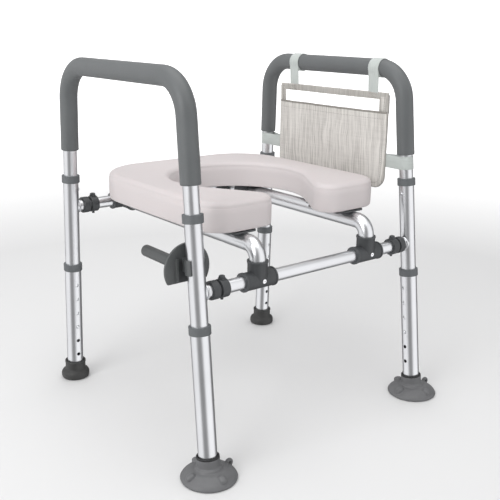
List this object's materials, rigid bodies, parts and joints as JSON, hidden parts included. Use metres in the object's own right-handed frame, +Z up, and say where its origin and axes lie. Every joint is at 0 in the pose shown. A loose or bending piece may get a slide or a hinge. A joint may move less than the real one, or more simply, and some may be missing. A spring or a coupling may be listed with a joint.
{
  "type": "toilet safety frame",
  "caption": "Free-standing toilet support frame with raised padded horseshoe seat, foam-covered side handles, telescopic legs, suction front feet, mesh bag and paper holder.",
  "frame": {"origin": "on the floor, at the middle of the rectangle the four feet stand in", "axes": "+Z up; -Y is the front, where the user's feet go; +X is the user's left and the viewer's right when seen from the front; left and right in node names are as seen from the front"},
  "size_m": [0.599, 0.553, 0.6523],
  "materials": {
    "tube_aluminium": "clear anodised, bright satin",
    "foam": "closed-cell foam, matt",
    "collar_plastic": "moulded, matt",
    "fitting_plastic": "glass-filled nylon, matt",
    "screw_steel": "zinc plated",
    "spring_steel": "spring strip and pressed button",
    "lock_pin_black": "steel pin with a moulded knob",
    "seat_pad": "moulded polyurethane skin, soft matt",
    "seat_board_black": "moulded panel",
    "suction_rubber": "grey rubber",
    "tip_rubber": "black rubber",
    "bag_mesh": "woven mesh",
    "bag_webbing": "flat elastic webbing"
  },
  "bodies": {
    "centre_frame": {"front_crossbar": "tube_aluminium", "rear_crossbar": "tube_aluminium", "seat_tube_left": "tube_aluminium", "seat_tube_right": "tube_aluminium", "tee_front_left": "fitting_plastic", "tee_front_right": "fitting_plastic", "tee_rear_left": "fitting_plastic", "tee_rear_right": "fitting_plastic", "tee_screws": "screw_steel", "lock_collars": "fitting_plastic", "seat_board": "seat_board_black", "seat_cushion": "seat_pad", "seat_clips": "fitting_plastic", "seat_clip_screws": "screw_steel"},
    "side_left": {"handle_tube_left": "tube_aluminium", "foam_grip_left": "foam", "upper_collars_left": "collar_plastic", "stub_caps_left": "fitting_plastic", "mid_tube_front_left": "tube_aluminium", "width_tube_front_left": "tube_aluminium", "mid_tube_rear_left": "tube_aluminium", "width_tube_rear_left": "tube_aluminium", "paper_holder": "fitting_plastic", "paper_spindle": "fitting_plastic"},
    "leg_front_left": {"lower_tube_front_left": "tube_aluminium", "lower_collar_front_left": "collar_plastic", "suction_foot_left": "suction_rubber"},
    "leg_button_front_left": {"leg_button_front_left": "spring_steel"},
    "handle_button_front_left": {"handle_button_front_left": "spring_steel"},
    "lock_pin_front_left": {"lock_pin_front_left": "lock_pin_black"},
    "leg_rear_left": {"lower_tube_rear_left": "tube_aluminium", "lower_collar_rear_left": "collar_plastic", "rubber_tip_left": "tip_rubber"},
    "leg_button_rear_left": {"leg_button_rear_left": "spring_steel"},
    "handle_button_rear_left": {"handle_button_rear_left": "spring_steel"},
    "lock_pin_rear_left": {"lock_pin_rear_left": "lock_pin_black"},
    "side_right": {"handle_tube_right": "tube_aluminium", "foam_grip_right": "foam", "upper_collars_right": "collar_plastic", "stub_caps_right": "fitting_plastic", "mid_tube_front_right": "tube_aluminium", "width_tube_front_right": "tube_aluminium", "mid_tube_rear_right": "tube_aluminium", "width_tube_rear_right": "tube_aluminium", "bag_back": "bag_mesh", "bag_pocket": "bag_mesh", "bag_straps": "bag_webbing", "bag_elastics": "bag_webbing"},
    "leg_front_right": {"lower_tube_front_right": "tube_aluminium", "lower_collar_front_right": "collar_plastic", "suction_foot_right": "suction_rubber"},
    "leg_button_front_right": {"leg_button_front_right": "spring_steel"},
    "handle_button_front_right": {"handle_button_front_right": "spring_steel"},
    "lock_pin_front_right": {"lock_pin_front_right": "lock_pin_black"},
    "leg_rear_right": {"lower_tube_rear_right": "tube_aluminium", "lower_collar_rear_right": "collar_plastic", "rubber_tip_right": "tip_rubber"},
    "leg_button_rear_right": {"leg_button_rear_right": "spring_steel"},
    "handle_button_rear_right": {"handle_button_rear_right": "spring_steel"},
    "lock_pin_rear_right": {"lock_pin_rear_right": "lock_pin_black"}
  },
  "joints": [
    {"name": "width_left", "type": "slide", "parent": "centre_frame", "child": "side_left", "axis": [-1, 0, 0], "range_m": [0, 0.06]},
    {"name": "width_right", "type": "slide", "parent": "centre_frame", "child": "side_right", "axis": [1, 0, 0], "range_m": [0, 0.06]},
    {"name": "leg_height_front_left", "type": "slide", "parent": "side_left", "child": "leg_front_left", "axis": [-0.0109, -0.1093, -0.9939], "range_m": [-0.03018, 0.09054], "deforming": ["leg_button_front_left"]},
    {"name": "leg_height_rear_left", "type": "slide", "parent": "side_left", "child": "leg_rear_left", "axis": [-0.011, 0.039, -0.9992], "range_m": [-0.06005, 0.09007], "deforming": ["leg_button_rear_left"]},
    {"name": "leg_height_front_right", "type": "slide", "parent": "side_right", "child": "leg_front_right", "axis": [0.0109, -0.1093, -0.9939], "range_m": [-0.03018, 0.09054], "deforming": ["leg_button_front_right"]},
    {"name": "leg_height_rear_right", "type": "slide", "parent": "side_right", "child": "leg_rear_right", "axis": [0.011, 0.039, -0.9992], "range_m": [-0.06005, 0.09007], "deforming": ["leg_button_rear_right"]},
    {"name": "leg_button_press_front_left", "type": "slide", "parent": "side_left", "child": "leg_button_front_left", "axis": [-0.9999, 0, 0.011], "range_m": [0, 0.0042], "stiffness_N_per_m": 2500, "springref_m": -0.001},
    {"name": "handle_button_press_front_left", "type": "slide", "parent": "side_left", "child": "handle_button_front_left", "axis": [-0.9999, 0, 0.011], "range_m": [0, 0.0042], "stiffness_N_per_m": 2500, "springref_m": -0.001},
    {"name": "lock_pin_pull_front_left", "type": "slide", "parent": "centre_frame", "child": "lock_pin_front_left", "axis": [0, 0, 1], "range_m": [0, 0.03]},
    {"name": "leg_button_press_rear_left", "type": "slide", "parent": "side_left", "child": "leg_button_rear_left", "axis": [0.0004, 0.9992, 0.039], "range_m": [0, 0.0042], "stiffness_N_per_m": 2500, "springref_m": -0.001},
    {"name": "handle_button_press_rear_left", "type": "slide", "parent": "side_left", "child": "handle_button_rear_left", "axis": [-0.9999, 0, 0.011], "range_m": [0, 0.0042], "stiffness_N_per_m": 2500, "springref_m": -0.001},
    {"name": "lock_pin_pull_rear_left", "type": "slide", "parent": "centre_frame", "child": "lock_pin_rear_left", "axis": [0, 0, 1], "range_m": [0, 0.03]},
    {"name": "leg_button_press_front_right", "type": "slide", "parent": "side_right", "child": "leg_button_front_right", "axis": [0.9999, 0, 0.011], "range_m": [0, 0.0042], "stiffness_N_per_m": 2500, "springref_m": -0.001},
    {"name": "handle_button_press_front_right", "type": "slide", "parent": "side_right", "child": "handle_button_front_right", "axis": [0.9999, 0, 0.011], "range_m": [0, 0.0042], "stiffness_N_per_m": 2500, "springref_m": -0.001},
    {"name": "lock_pin_pull_front_right", "type": "slide", "parent": "centre_frame", "child": "lock_pin_front_right", "axis": [0, 0, 1], "range_m": [0, 0.03]},
    {"name": "leg_button_press_rear_right", "type": "slide", "parent": "side_right", "child": "leg_button_rear_right", "axis": [-0.0004, 0.9992, 0.039], "range_m": [0, 0.0042], "stiffness_N_per_m": 2500, "springref_m": -0.001},
    {"name": "handle_button_press_rear_right", "type": "slide", "parent": "side_right", "child": "handle_button_rear_right", "axis": [0.9999, 0, 0.011], "range_m": [0, 0.0042], "stiffness_N_per_m": 2500, "springref_m": -0.001},
    {"name": "lock_pin_pull_rear_right", "type": "slide", "parent": "centre_frame", "child": "lock_pin_rear_right", "axis": [0, 0, 1], "range_m": [0, 0.03]}
  ]
}
